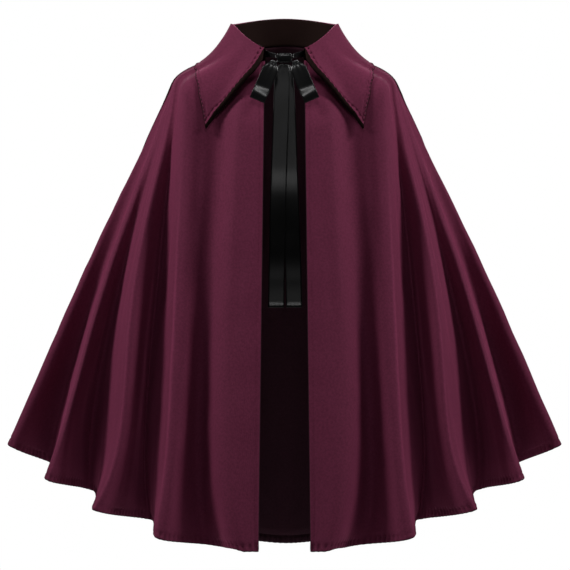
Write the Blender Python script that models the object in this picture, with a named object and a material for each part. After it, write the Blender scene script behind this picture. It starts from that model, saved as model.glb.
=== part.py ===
"""Open-front capelet with a pointed fall collar and a ribbon bow at the neck.

Metres, +Z up. The front faces -Y, and the origin is the middle of the neck base.
"""
import math
from collections import namedtuple

import bmesh
import bpy
from mathutils import Vector

# Cloth and ribbon thickness, and the clearance kept between neighbouring pieces
CLOTH_WALL = 0.0020
LINING_WALL = 0.0010
LINING_GAP = 0.0008
STAND_WALL = 0.0015
RIBBON_WALL = 0.0010
RIBBON_WIDTH = 0.022
SEAM_GAP = 0.0003
SEAM_DRAWBACK = 0.00018

# Rings round the neck and shoulders: half widths to the side, front and back, and their heights
Ring = namedtuple("Ring", "side front back side_z front_z back_z")
NECK_SEAM = Ring(0.075, 0.063, 0.066, 0.008, -0.010, 0.022)
SHOULDER = Ring(0.162, 0.130, 0.133, -0.038, -0.115, -0.075)
COLLAR_ROLL = Ring(0.076, 0.080, 0.070, 0.049, 0.002, 0.062)

# Slope of the cloth below the horizontal where it leaves the neck seam, in degrees
NECK_SLOPE_SIDE = 25
NECK_SLOPE_FRONT = 52
NECK_SLOPE_BACK = 42
NECK_EDGE_ANGLE = 21.9

# Hem line, one row for each fold crest and valley, on the right half from the front edge backwards.
# angle is where its fold line crosses the shoulder ring: 0 front, 90 side, 180 back. push stands the
# line out from the ring, bulge swells it half way down and flick swings it sideways at the
# hem. before and after are how full the hem's curve is on its two sides.
Fold = namedtuple("Fold", "x y z angle push bulge flick before after")
FRONT_FOLDS = (
    Fold(0.036, -0.272, -0.694, 10.6, 0.000, 0.000, 0.000, 1.0, 1.0),
    Fold(0.068, -0.276, -0.692, 23.0, 0.002, 0.000, -0.033, 1.2, 1.2),
    Fold(0.108, -0.207, -0.689, 36.0, -0.010, 0.004, -0.024, 1.3, 1.1),
    Fold(0.177, -0.268, -0.675, 59.5, 0.022, 0.004, 0.015, 1.3, 0.7),
    Fold(0.190, -0.125, -0.660, 70.5, -0.003, 0.004, -0.022, 0.8, 0.7),
    Fold(0.265, -0.245, -0.638, 77.0, 0.001, 0.041, 0.040, 1.5, 0.4),
    Fold(0.274, -0.090, -0.621, 81.0, 0.000, 0.008, -0.024, 1.2, 1.1),
    Fold(0.333, -0.205, -0.598, 84.5, 0.000, 0.014, 0.005, 1.5, 0.5),
    Fold(0.340, 0.020, -0.588, 87.3, 0.000, 0.006, -0.012, 0.8, 0.8),
    Fold(0.399, -0.012, -0.557, 90.0, 0.000, 0.004, 0.000, 6.0, 1.6),
)
BACK_FOLDS_RIGHT = (
    Fold(0.336, 0.082, -0.585, 92.7, 0.000, 0.004, 0.000, 1.2, 1.2),
    Fold(0.347, 0.156, -0.605, 96.0, 0.000, 0.008, 0.008, 0.9, 0.9),
    Fold(0.268, 0.110, -0.628, 99.5, 0.000, 0.004, 0.000, 1.2, 1.2),
    Fold(0.262, 0.224, -0.655, 106.0, 0.003, 0.006, 0.010, 0.9, 0.9),
    Fold(0.184, 0.160, -0.672, 120.0, -0.004, 0.000, 0.000, 1.2, 1.2),
    Fold(0.158, 0.262, -0.690, 138.0, 0.006, 0.000, 0.008, 1.0, 1.0),
    Fold(0.084, 0.200, -0.707, 158.0, -0.005, 0.000, 0.000, 1.2, 1.2),
)
BACK_FOLDS_LEFT = (
    Fold(0.338, 0.084, -0.583, 92.7, 0.000, 0.004, 0.000, 1.2, 1.2),
    Fold(0.350, 0.148, -0.601, 95.8, 0.000, 0.008, 0.010, 0.9, 0.9),
    Fold(0.280, 0.106, -0.623, 99.0, 0.000, 0.004, 0.000, 1.2, 1.2),
    Fold(0.278, 0.212, -0.650, 105.0, 0.003, 0.006, 0.010, 0.9, 0.9),
    Fold(0.198, 0.162, -0.668, 118.0, -0.004, 0.000, 0.000, 1.2, 1.2),
    Fold(0.172, 0.254, -0.686, 135.0, 0.006, 0.000, 0.006, 1.0, 1.0),
    Fold(0.092, 0.204, -0.705, 156.0, -0.005, 0.000, 0.000, 1.2, 1.2),
)
CENTRE_BACK = Fold(0.000, 0.252, -0.721, 180.0, 0.005, 0.000, 0.000, 1.0, 1.0)

# Fold numbers, counted round the hem, at the seams
RIGHT_SEAM = len(FRONT_FOLDS) - 1
CENTRE = RIGHT_SEAM + len(BACK_FOLDS_RIGHT) + 1
LEFT_SEAM = CENTRE + len(BACK_FOLDS_LEFT) + 1
LAST_FOLD = LEFT_SEAM + RIGHT_SEAM

# Share of a fold line's length that lies above the shoulder ring, and the panels' mesh
YOKE_SHARE = 0.20
YOKE_ROWS = 6
FALL_STEPS = (0.12, 0.26, 0.42, 0.58, 0.73, 0.85, 0.94, 1.0)
COLUMNS_PER_FOLD = 4
BULGE_PEAK = 16
FLICK_POWER = 8.5

# Folds deepen from the shoulder ring to the hem by these powers, later at the sides than in front
FRONT_GROWTH = 1.3
SIDE_GROWTH = 2.3

YOKE_ARRIVAL = 0.9
ARRIVAL_STEP = 0.05
LINING_TOP_SHARE = 0.0005
LINING_HEM_SHARE = 0.985

# Collar leaf, one row for each place from its front edge to the centre back: the fold number that it
# starts from on the roll line, and the fold number and share of length where its edge lies
LeafRow = namedtuple("LeafRow", "roll_fold edge_fold edge_share")
LEAF_ROWS = (
    LeafRow(0.0, 2.34, 0.2320),
    LeafRow(1.4, 2.54, 0.1785),
    LeafRow(2.9, 2.86, 0.1395),
    LeafRow(4.7, 4.05, 0.1200),
    LeafRow(9.0, 9.00, 0.1000),
    LeafRow(13.0, 13.0, 0.1010),
    LeafRow(17.0, 17.0, 0.1050),
)
LEAF_CLEARANCE = 0.0022
LEAF_DROOP_POWER = 1.75
LEAF_FRONT_LIFT = 0.005
LEAF_LIFT_ROWS = 1.6
LEAF_EDGE_BOW = 0.85
LEAF_LANDING_RATE = 3
LEAF_COLUMNS_PER_ROW = 5
LEAF_STEPS = 6
ROLL_CLEARANCE = 0.0005
STAND_STEPS = 2
STAND_INSET = 0.0006

# Ribbon bow, from its knot in the middle of the neck opening
KNOT_CENTRE = Vector((0.0, -0.091, -0.006))
KNOT_HALF = Vector((0.0115, 0.0070, 0.0074))
KNOT_SQUARENESS = 0.75
TIE_WIDTH_AT_STAND = 0.013
TIE_WIDTH_AT_KNOT = 0.006
TIE_RISE_AT_KNOT = 0.003
TIE_LOW_SHARE = 0.15
TIE_HIGH_SHARE = 0.95
TIE_STATIONS = 4
LOOP_LENGTH = 0.0625
LOOP_LEAN = math.radians(23.5)
LOOP_ROOT_WIDTH = 0.007
LOOP_ROOT_DROP = 0.004
LOOP_ROOT_TUCK = 0.0008
LOOP_ROOT_GAP = 0.0008
LOOP_HALF_DEPTH = 0.0050
LOOP_FORWARD = 0.026
LOOP_ROOT_OPENNESS = 0.35
LOOP_SPREAD_RATE = 4
LOOP_STATIONS = 18
TAIL_FRONT_STEP = 0.0016

# Tails: height, forward reach and sideways place of each tail's middle, and the ribbon's width
TailRow = namedtuple("TailRow", "z y left right width")
TAIL_ROWS = (
    TailRow(-0.0145, -0.0900, -0.0010, 0.0006, 0.012),
    TailRow(-0.0240, -0.0945, -0.0026, 0.0012, 0.020),
    TailRow(-0.0450, -0.0990, -0.0036, 0.0024, RIBBON_WIDTH),
    TailRow(-0.1050, -0.1110, -0.0056, 0.0054, RIBBON_WIDTH),
    TailRow(-0.1850, -0.1250, -0.0084, 0.0081, RIBBON_WIDTH),
    TailRow(-0.2400, -0.1270, -0.0096, 0.0102, RIBBON_WIDTH),
    TailRow(-0.2900, -0.1330, -0.0106, 0.0120, RIBBON_WIDTH),
    TailRow(-0.3605, -0.1350, -0.0118, 0.0136, RIBBON_WIDTH),
)
TAIL_STEPS_PER_ROW = 2

# Edges sharper than this are drawn sharp
SHARP_ANGLE = math.radians(60)

# Materials: base colour, roughness
BURGUNDY = ((0.110, 0.022, 0.047, 1.0), 0.75)
DARK_LINING = ((0.007, 0.003, 0.004, 1.0), 0.70)
BLACK_SATIN = ((0.008, 0.008, 0.009, 1.0), 0.28)


def clear_scene():
    for thing in list(bpy.data.objects):
        bpy.data.objects.remove(thing, do_unlink=True)


def make_material(name, finish):
    colour, roughness = finish
    material = bpy.data.materials.new(name)
    material.use_nodes = True
    shader = material.node_tree.nodes["Principled BSDF"]
    shader.inputs["Base Color"].default_value = colour
    shader.inputs["Roughness"].default_value = roughness
    shader.inputs["Metallic"].default_value = 0.0
    return material


def add_object(name, mesh_builder, material, collection):
    mesh = bpy.data.meshes.new(name)
    bmesh.ops.recalc_face_normals(mesh_builder, faces=mesh_builder.faces)
    mesh_builder.to_mesh(mesh)
    mesh_builder.free()
    mesh.shade_smooth()
    mesh.set_sharp_from_angle(angle=SHARP_ANGLE)
    mesh.materials.append(material)
    thing = bpy.data.objects.new(name, mesh)
    collection.objects.link(thing)
    return thing


# Curves

def spline(values, position, fullness=None):
    """Smooth curve through a list of vectors or numbers, at a fractional index."""
    last = len(values) - 1
    start = min(max(int(math.floor(position)), 0), last - 1)
    t = position - start
    p1 = values[start]
    p2 = values[start + 1]
    p0 = values[start - 1] if start > 0 else p1 * 2 - p2
    p3 = values[start + 2] if start + 2 <= last else p2 * 2 - p1
    leaving = (p2 - p0) * 0.5
    arriving = (p3 - p1) * 0.5
    if fullness:
        leaving *= fullness[start].after
        arriving *= fullness[start + 1].before
    return hermite(p1, leaving, p2, arriving, t)


def hermite(start, start_tangent, end, end_tangent, t):
    square = t * t
    cube = square * t
    return (
        start * (2 * cube - 3 * square + 1)
        + start_tangent * (cube - 2 * square + t)
        + end * (3 * square - 2 * cube)
        + end_tangent * (cube - square)
    )


def ring_point(ring, degrees):
    angle = math.radians(degrees)
    forward = math.cos(angle)
    depth = ring.front if forward > 0 else ring.back
    end_z = ring.front_z if forward > 0 else ring.back_z
    height = ring.side_z + (end_z - ring.side_z) * forward * forward
    return Vector((ring.side * math.sin(angle), -depth * forward, height))


# The draped surface: fold number round the hem, and share of length from neck seam to hem

def mirrored(fold):
    return fold._replace(x=-fold.x, angle=360 - fold.angle, before=fold.after, after=fold.before)


FOLDS = (
    list(FRONT_FOLDS)
    + list(BACK_FOLDS_RIGHT)
    + [CENTRE_BACK]
    + [mirrored(fold) for fold in reversed(BACK_FOLDS_LEFT)]
    + [mirrored(fold) for fold in reversed(FRONT_FOLDS)]
)
HEM_POINTS = [Vector((fold.x, fold.y, fold.z)) for fold in FOLDS]
RING_ANGLES = [fold.angle for fold in FOLDS]
PUSHES = [fold.push for fold in FOLDS]
BULGES = [fold.bulge for fold in FOLDS]
FLICKS = [math.copysign(fold.flick, fold.flick * fold.x) for fold in FOLDS]


def smoothed(points):
    """Each point drawn halfway to the middle of its neighbours, which irons out the folds."""
    inner = [(a + b * 2 + c) / 4 for a, b, c in zip(points, points[1:], points[2:])]
    return [points[0]] + inner + [points[-1]]


SMOOTH_HEM = smoothed(HEM_POINTS)


def neck_angle(fold_number):
    """Angle on the neck seam, spread evenly from each front edge to the centre back."""
    half_turn = 180 - NECK_EDGE_ANGLE
    side = 90 - NECK_EDGE_ANGLE
    from_front = min(fold_number, LAST_FOLD - fold_number)
    if from_front <= RIGHT_SEAM:
        angle = NECK_EDGE_ANGLE + side * from_front / RIGHT_SEAM
    else:
        angle = 90 + (half_turn - side) * (from_front - RIGHT_SEAM) / (CENTRE - RIGHT_SEAM)
    return angle if fold_number <= CENTRE else 360 - angle


def neck_slope(degrees):
    forward = math.cos(math.radians(degrees))
    end_slope = NECK_SLOPE_FRONT if forward > 0 else NECK_SLOPE_BACK
    return math.radians(NECK_SLOPE_SIDE + (end_slope - NECK_SLOPE_SIDE) * forward * forward)


def fall_point(fold_number, share):
    """A fold line below the shoulder ring: nearly straight, deepening and flicked out at the hem."""
    at_ring = spline(RING_ANGLES, fold_number)
    ring = ring_point(SHOULDER, at_ring)
    smooth_hem = spline(SMOOTH_HEM, fold_number)
    fold = spline(HEM_POINTS, fold_number, FOLDS) - smooth_hem
    growth = FRONT_GROWTH + (SIDE_GROWTH - FRONT_GROWTH) * math.sin(math.radians(at_ring)) ** 4
    depth = Vector((fold.x * share, fold.y * share ** growth, fold.z * share))
    outward = Vector((smooth_hem.x - ring.x, smooth_hem.y - ring.y, 0)).normalized()
    swell = spline(BULGES, fold_number) * BULGE_PEAK * (share * (1 - share)) ** 2
    swell += spline(PUSHES, fold_number) * (1 - share)
    flick = spline(FLICKS, fold_number) * (share ** FLICK_POWER - share)
    return ring + (smooth_hem - ring) * share + depth + outward * swell + Vector((flick, 0, 0))


def yoke_point(fold_number, share):
    """The cloth over the shoulders, from the neck seam to the shoulder ring."""
    at_neck = neck_angle(fold_number)
    start = ring_point(NECK_SEAM, at_neck)
    end = fall_point(fold_number, 0.0)
    slope = neck_slope(at_neck)
    outward = Vector((end.x - start.x, end.y - start.y, 0)).normalized()
    leaving = outward * math.cos(slope) - Vector((0, 0, math.sin(slope)))
    arriving = (fall_point(fold_number, ARRIVAL_STEP) - end).normalized()
    span = (end - start).length
    return hermite(start, leaving * span, end, arriving * span * YOKE_ARRIVAL, share)


def cloth_point(fold_number, share):
    if share < YOKE_SHARE:
        return yoke_point(fold_number, share / YOKE_SHARE)
    return fall_point(fold_number, (share - YOKE_SHARE) / (1 - YOKE_SHARE))


def surface_normal(surface, u, v, u_range, v_range, step=0.004):
    """Outward unit normal of surface(u, v), by differences kept inside its ranges."""
    u0 = max(u - step, u_range[0])
    u1 = min(u + step, u_range[1])
    v0 = max(v - step, v_range[0])
    v1 = min(v + step, v_range[1])
    along_u = surface(u1, v) - surface(u0, v)
    along_v = surface(u, v1) - surface(u, v0)
    return along_v.cross(along_u).normalized()


def cloth_normal(fold_number, share):
    return surface_normal(cloth_point, fold_number, share, (0, LAST_FOLD), (0, 1))


# Walls

def grid_border(rows, columns):
    """Row and column numbers round a grid's edge, in order."""
    top = [(0, c) for c in range(columns - 1)]
    right = [(r, columns - 1) for r in range(rows - 1)]
    bottom = [(rows - 1, c) for c in range(columns - 1, 0, -1)]
    left = [(r, 0) for r in range(rows - 1, 0, -1)]
    return top + right + bottom + left


def loft_wall(outer, inner):
    """Closed wall between two grids of points of the same size, both cut along the same diagonals."""
    builder = bmesh.new()
    rows = len(outer)
    columns = len(outer[0])
    near = [[builder.verts.new(point) for point in row] for row in outer]
    far = [[builder.verts.new(point) for point in row] for row in inner]
    for r in range(rows - 1):
        for c in range(columns - 1):
            builder.faces.new((near[r][c], near[r][c + 1], near[r + 1][c + 1]))
            builder.faces.new((near[r][c], near[r + 1][c + 1], near[r + 1][c]))
            builder.faces.new((far[r][c], far[r + 1][c + 1], far[r][c + 1]))
            builder.faces.new((far[r][c], far[r + 1][c], far[r + 1][c + 1]))
    border = grid_border(rows, columns)
    for (r, c), (next_r, next_c) in zip(border, border[1:] + border[:1]):
        builder.faces.new((near[r][c], far[r][c], far[next_r][next_c], near[next_r][next_c]))
    return builder


def panel_shares():
    yoke = [YOKE_SHARE * row / YOKE_ROWS for row in range(YOKE_ROWS + 1)]
    return yoke + [YOKE_SHARE + (1 - YOKE_SHARE) * step for step in FALL_STEPS]


def panel_columns(first, last):
    count = (last - first) * COLUMNS_PER_FOLD
    return [first + (last - first) * number / count for number in range(count + 1)]


def seam_shift(columns, position, share):
    """Draws a panel's side edge back from its neighbour, along the cloth."""
    if position not in (0, len(columns) - 1):
        return Vector((0, 0, 0))
    here = cloth_point(columns[position], share)
    inside = 1 if position == 0 else len(columns) - 2
    return (cloth_point(columns[inside], share) - here).normalized() * SEAM_DRAWBACK


def panel_wall(columns, shares, depth, thickness):
    """Wall that follows the draped surface, its outer face sunk by depth."""
    outer = []
    inner = []
    for share in shares:
        outer_row = []
        inner_row = []
        for position, column in enumerate(columns):
            normal = cloth_normal(column, share)
            point = cloth_point(column, share) + seam_shift(columns, position, share)
            outer_row.append(point - normal * depth)
            inner_row.append(point - normal * (depth + thickness))
        outer.append(outer_row)
        inner.append(inner_row)
    return loft_wall(outer, inner)


def add_panels(burgundy, dark, collection):
    shares = panel_shares()
    back_columns = panel_columns(RIGHT_SEAM, LEFT_SEAM)
    panels = (
        ("front_right", panel_columns(0, RIGHT_SEAM)),
        ("back", back_columns),
        ("front_left", panel_columns(LEFT_SEAM, LAST_FOLD)),
    )
    for name, columns in panels:
        add_object(name, panel_wall(columns, shares, 0.0, CLOTH_WALL), burgundy, collection)
    lining_depth = CLOTH_WALL + LINING_GAP
    lining_shares = [LINING_TOP_SHARE] + shares[1:-1] + [LINING_HEM_SHARE]
    lining = panel_wall(back_columns[1:-1], lining_shares, lining_depth, LINING_WALL)
    add_object("lining_back", lining, dark, collection)


# Collar

def mirrored_leaf(row):
    return LeafRow(LAST_FOLD - row.roll_fold, LAST_FOLD - row.edge_fold, row.edge_share)


LEAF_PLACES = list(LEAF_ROWS) + [mirrored_leaf(row) for row in reversed(LEAF_ROWS[:-1])]
LAST_PLACE = len(LEAF_PLACES) - 1
ROLL_FOLDS = [place.roll_fold for place in LEAF_PLACES]
EDGE_FOLDS = [place.edge_fold for place in LEAF_PLACES]
EDGE_SHARES = [place.edge_share for place in LEAF_PLACES]


def roll_point(fold_number):
    return ring_point(COLLAR_ROLL, neck_angle(fold_number))


def stand_point(place, share):
    """Outer face of the stand, from just above the neck seam to the roll line."""
    fold_number = spline(ROLL_FOLDS, place)
    seam = ring_point(NECK_SEAM, neck_angle(fold_number))
    inward = Vector((-seam.x, -seam.y, 0)).normalized()
    bottom = seam + inward * STAND_INSET + Vector((0, 0, SEAM_GAP))
    return bottom + (roll_point(fold_number) - bottom) * share


def leaf_point(place, share):
    """Under face of the collar leaf, from the roll line out to its edge on the panels."""
    roll_fold = spline(ROLL_FOLDS, place)
    from_front = min(place, LAST_PLACE - place)
    at_front = max(0.0, 1 - from_front / LEAF_LIFT_ROWS) ** 2
    bow = LEAF_EDGE_BOW * at_front * math.sqrt(share) * (1 - share)
    fold_number = roll_fold + (spline(EDGE_FOLDS, place) - roll_fold) * share
    fold_number += bow if place <= LAST_PLACE / 2 else -bow
    length_share = spline(EDGE_SHARES, place) * share
    seam = ring_point(NECK_SEAM, neck_angle(roll_fold))
    roll = roll_point(roll_fold)
    outward = Vector((roll.x, roll.y, 0)).normalized()
    rise = roll + outward * ROLL_CLEARANCE - seam
    clearance = (LEAF_CLEARANCE + LEAF_FRONT_LIFT * at_front) * min(1.0, share * LEAF_LANDING_RATE)
    on_panel = cloth_point(fold_number, length_share)
    on_panel += cloth_normal(fold_number, length_share) * clearance
    return on_panel + rise * (1 - share) ** LEAF_DROOP_POWER


def collar_grids(surface, steps, thickness):
    columns = LAST_PLACE * LEAF_COLUMNS_PER_ROW
    near = []
    far = []
    for step in range(steps + 1):
        share = step / steps
        points = []
        moved = []
        for number in range(columns + 1):
            place = number / LEAF_COLUMNS_PER_ROW
            point = surface(place, share)
            normal = surface_normal(surface, place, share, (0, LAST_PLACE), (0, 1))
            points.append(point)
            moved.append(point + normal * thickness)
        near.append(points)
        far.append(moved)
    return near, far


def add_collar(burgundy, dark, collection):
    under, over = collar_grids(leaf_point, LEAF_STEPS, CLOTH_WALL)
    add_object("collar_fall", loft_wall(over, under), burgundy, collection)
    outside, inside = collar_grids(stand_point, STAND_STEPS, STAND_WALL)
    add_object("collar_stand", loft_wall(outside, inside), dark, collection)


# Ribbon bow

def ribbon_wall(stations):
    """Strip of ribbon through stations of centre, half-width vector and normal."""
    outer = []
    inner = []
    for centre, half_width, normal in stations:
        lift = normal * RIBBON_WALL * 0.5
        across = (centre - half_width, centre, centre + half_width)
        outer.append([point + lift for point in across])
        inner.append([point - lift for point in across])
    return loft_wall(outer, inner)


def tie_stations(side):
    """Ribbon from the stand's front end to the knot's side."""
    front_end = 0 if side > 0 else LAST_PLACE
    low = stand_point(front_end, TIE_LOW_SHARE)
    high = stand_point(front_end, TIE_HIGH_SHARE)
    start = (low + high) * 0.5 + Vector((-side * SEAM_GAP * 2, 0, 0))
    end = KNOT_CENTRE + Vector((side * (KNOT_HALF.x + SEAM_GAP), 0, TIE_RISE_AT_KNOT))
    start_across = (high - low).normalized() * TIE_WIDTH_AT_STAND * 0.5
    end_across = Vector((0, 0, TIE_WIDTH_AT_KNOT * 0.5))
    along = (end - start).normalized()
    stations = []
    for number in range(TIE_STATIONS):
        share = number / (TIE_STATIONS - 1)
        across = start_across.lerp(end_across, share)
        stations.append((start.lerp(end, share), across, along.cross(across).normalized()))
    return stations


def loop_stations(side):
    """Ribbon that leaves the knot, turns at the loop's lower end and comes back behind."""
    along = Vector((side * math.sin(LOOP_LEAN), 0, -math.cos(LOOP_LEAN)))
    across = Vector((math.cos(LOOP_LEAN), 0, side * math.sin(LOOP_LEAN)))
    root_reach = KNOT_HALF.x + LOOP_ROOT_WIDTH * 0.5 * math.cos(LOOP_LEAN) - LOOP_ROOT_TUCK
    root = KNOT_CENTRE + Vector((side * root_reach, 0, -LOOP_ROOT_DROP))
    stations = []
    for number in range(LOOP_STATIONS + 1):
        turn = math.pi * (2 * number / LOOP_STATIONS - 1)
        reach = (1 + math.cos(turn)) * 0.5
        openness = LOOP_ROOT_OPENNESS + (1 - LOOP_ROOT_OPENNESS) * reach
        forward = LOOP_HALF_DEPTH * math.sin(turn) * openness
        spread = min(1.0, reach * LOOP_SPREAD_RATE)
        width = LOOP_ROOT_WIDTH + (RIBBON_WIDTH - LOOP_ROOT_WIDTH) * spread
        offset = Vector((0, forward - LOOP_FORWARD * math.sqrt(reach), 0))
        length = LOOP_LENGTH * reach + LOOP_ROOT_GAP * (1 - reach) * turn / math.pi
        stations.append([root + along * length + offset, across * width * 0.5])
    return with_normals(stations, across)


def with_normals(stations, across):
    """Adds each station's normal, square to the ribbon's run and its width."""
    finished = []
    for number, (centre, half_width) in enumerate(stations):
        before = stations[max(number - 1, 0)][0]
        after = stations[min(number + 1, len(stations) - 1)][0]
        finished.append((centre, half_width, (after - before).cross(across).normalized()))
    return finished


def tail_stations(side):
    """Free ribbon end that hangs from under the knot; the left one lies in front."""
    in_front = TAIL_FRONT_STEP if side < 0 else 0.0
    middles = []
    for row in TAIL_ROWS:
        sideways = row.left if side < 0 else row.right
        middles.append(Vector((sideways, row.y - in_front, row.z)))
    widths = [row.width for row in TAIL_ROWS]
    across = Vector((1, 0, 0))
    stations = []
    for number in range((len(TAIL_ROWS) - 1) * TAIL_STEPS_PER_ROW + 1):
        position = number / TAIL_STEPS_PER_ROW
        stations.append([spline(middles, position), across * spline(widths, position) * 0.5])
    return with_normals(stations, across)


def knot_form():
    """Rounded knot, a ball squared off towards its sides."""
    builder = bmesh.new()
    bmesh.ops.create_uvsphere(builder, u_segments=16, v_segments=10, radius=1.0)
    for vertex in builder.verts:
        square = [math.copysign(abs(part) ** KNOT_SQUARENESS, part) for part in vertex.co]
        vertex.co = KNOT_CENTRE + Vector(square) * KNOT_HALF
    return builder


def add_bow(satin, collection):
    add_object("knot", knot_form(), satin, collection)
    for name, side in (("left", -1), ("right", 1)):
        add_object("tie_" + name, ribbon_wall(tie_stations(side)), satin, collection)
        add_object("loop_" + name, ribbon_wall(loop_stations(side)), satin, collection)
        add_object("tail_" + name, ribbon_wall(tail_stations(side)), satin, collection)


def main():
    clear_scene()
    collection = bpy.data.collections.new("capelet")
    bpy.context.scene.collection.children.link(collection)
    burgundy = make_material("burgundy_cloth", BURGUNDY)
    dark = make_material("dark_lining", DARK_LINING)
    satin = make_material("black_satin", BLACK_SATIN)
    add_panels(burgundy, dark, collection)
    add_collar(burgundy, dark, collection)
    add_bow(satin, collection)


main()
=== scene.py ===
"""Looks of the open-front capelet: draped cloth, fall collar, lining, ribbon bow, sewing and studio.

Metres, +Z up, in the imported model's frame: the front faces -Y, the origin is the middle of the neck base.
"""
import math
from collections import namedtuple

import bpy
import numpy as np
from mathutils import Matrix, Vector


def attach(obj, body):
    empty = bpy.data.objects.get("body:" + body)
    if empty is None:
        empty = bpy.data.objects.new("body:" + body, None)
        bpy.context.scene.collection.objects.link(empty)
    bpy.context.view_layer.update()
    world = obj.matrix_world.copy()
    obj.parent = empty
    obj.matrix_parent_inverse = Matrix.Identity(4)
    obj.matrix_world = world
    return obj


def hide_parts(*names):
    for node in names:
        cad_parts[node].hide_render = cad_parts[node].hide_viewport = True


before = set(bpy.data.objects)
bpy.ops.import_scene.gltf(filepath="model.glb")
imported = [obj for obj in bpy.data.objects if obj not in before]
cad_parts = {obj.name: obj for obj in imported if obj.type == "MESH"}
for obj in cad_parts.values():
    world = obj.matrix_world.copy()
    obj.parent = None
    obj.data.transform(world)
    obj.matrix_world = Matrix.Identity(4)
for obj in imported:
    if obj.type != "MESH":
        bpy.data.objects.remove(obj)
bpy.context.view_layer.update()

BODY = "root"

# Camera: level, with the photograph's framing
CAMERA_PLACE = (0.0007, -5.0, -0.329)
CAMERA_LENS = 217.8
CAMERA_SENSOR = 36.0

# Studio
FLOOR_HEIGHT = -1.45
FLOOR_HALF = 1.3
FLOOR_COLOUR = (0.82, 0.82, 0.82)
FLOOR_ROUGHNESS = 0.9
Softbox = namedtuple("Softbox", "name place aim width height power")
SOFTBOXES = (
    Softbox("left", (-1.40, -0.36, 0.90), (0.0, 0.0, -0.20), 0.45, 0.55, 20.5),
    Softbox("right", (1.40, -0.36, 0.90), (0.0, 0.0, -0.20), 0.45, 0.55, 20.5),
    Softbox("top", (0.0, -1.70, 1.25), (0.0, 0.0, -0.10), 0.25, 0.25, 5.2),
    Softbox("back", (0.0, 3.0, 0.90), (0.0, 0.0, -0.35), 2.4, 1.6, 40),
)
WORLD_LIGHT = 0.03
WHITE = (1.0, 1.0, 1.0, 1.0)

# Looks of the cloths and of the ribbon
ClothLook = namedtuple("ClothLook", "colour roughness sheen")
BURGUNDY = ClothLook((0.155, 0.029, 0.064), 0.74, 0.30)
DARK_LINING = ClothLook((0.042, 0.016, 0.024), 0.70, 0.0)
# Near black, darker than the lining: the stand's dark cloth with the shade inside the neck painted in, and
# the painted shadow under the collar's front edges
DARK_BAND_AND_PAINTED_SHADE = ClothLook((0.008, 0.004, 0.0035), 0.75, 0.0)
SHEEN_ROUGHNESS = 0.4
CLOTH_SPECULAR = 0.12
MOTTLE_SCALE = 330
MOTTLE_DETAIL = 4
# Each end of the mottling: its place on the noise, and how dark or light it makes the colour
MottleEnd = namedtuple("MottleEnd", "position strength")
MOTTLE_ENDS = (MottleEnd(0.30, 0.86), MottleEnd(0.70, 1.13))
# Threads of the weave, as waves over the flat cut
Weave = namedtuple("Weave", "direction scale distortion bump height")
TWILL = Weave("DIAGONAL", 320, 1.2, 0.25, 0.0002)
SATIN_THREADS = Weave("X", 500, 0.8, 0.15, 0.0001)
WEAVE_DETAIL = 2
SATIN_COLOUR = (0.004, 0.004, 0.0045)
SATIN_SPECULAR = 0.5
SATIN_SHEEN = 0.015
SATIN_SMOOTHEST = 0.25
SATIN_ROUGHEST = 0.31

# Rings round the neck and shoulders: half widths to the side, front and back, and their heights
Ring = namedtuple("Ring", "side front back side_z front_z back_z")
NECK_SEAM = Ring(0.075, 0.063, 0.066, 0.008, -0.010, 0.022)
SHOULDER = Ring(0.162, 0.130, 0.133, -0.038, -0.115, -0.075)
COLLAR_ROLL = Ring(0.076, 0.080, 0.070, 0.049, 0.002, 0.062)
# Degrees below level of the cloth at the neck seam, and the front edges' angle round the neck
NECK_SLOPE_SIDE = 25
NECK_SLOPE_FRONT = 52
NECK_SLOPE_BACK = 42
NECK_EDGE_ANGLE = 21.9

# Hem line, one row for each fold crest and valley from the front edge backwards: its place, its angle
# on the shoulder ring, how far it is pushed out there, bulges half way down and flicks aside at the
# hem, and how full the hem's curve is before and after it
Fold = namedtuple("Fold", "x y z angle push bulge flick before after")
FRONT_FOLDS = (
    Fold(0.036, -0.272, -0.694, 10.6, 0.000, 0.000, 0.000, 1.0, 1.0),
    Fold(0.068, -0.276, -0.692, 23.0, 0.002, 0.000, -0.033, 1.2, 1.2),
    Fold(0.108, -0.207, -0.689, 36.0, -0.010, 0.004, -0.024, 1.3, 1.1),
    Fold(0.177, -0.268, -0.675, 59.5, 0.022, 0.004, 0.015, 1.3, 0.7),
    Fold(0.190, -0.125, -0.660, 70.5, -0.003, 0.004, -0.022, 0.8, 0.7),
    Fold(0.265, -0.245, -0.638, 77.0, 0.001, 0.041, 0.040, 1.5, 0.4),
    Fold(0.274, -0.090, -0.621, 81.0, 0.000, 0.008, -0.024, 1.2, 1.1),
    Fold(0.333, -0.205, -0.598, 84.5, 0.000, 0.014, 0.005, 1.5, 0.5),
    Fold(0.340, 0.020, -0.588, 87.3, 0.000, 0.006, -0.012, 0.8, 0.8),
    Fold(0.399, -0.012, -0.557, 90.0, 0.000, 0.004, 0.000, 6.0, 1.6),
)
BACK_FOLDS_RIGHT = (
    Fold(0.336, 0.082, -0.585, 92.7, 0.000, 0.004, 0.000, 1.2, 1.2),
    Fold(0.347, 0.156, -0.605, 96.0, 0.000, 0.008, 0.008, 0.9, 0.9),
    Fold(0.268, 0.110, -0.628, 99.5, 0.000, 0.004, 0.000, 1.2, 1.2),
    Fold(0.262, 0.224, -0.655, 106.0, 0.003, 0.006, 0.010, 0.9, 0.9),
    Fold(0.184, 0.160, -0.672, 120.0, -0.004, 0.000, 0.000, 1.2, 1.2),
    Fold(0.158, 0.262, -0.690, 138.0, 0.006, 0.000, 0.008, 1.0, 1.0),
    Fold(0.084, 0.200, -0.707, 158.0, -0.005, 0.000, 0.000, 1.2, 1.2),
)
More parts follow.
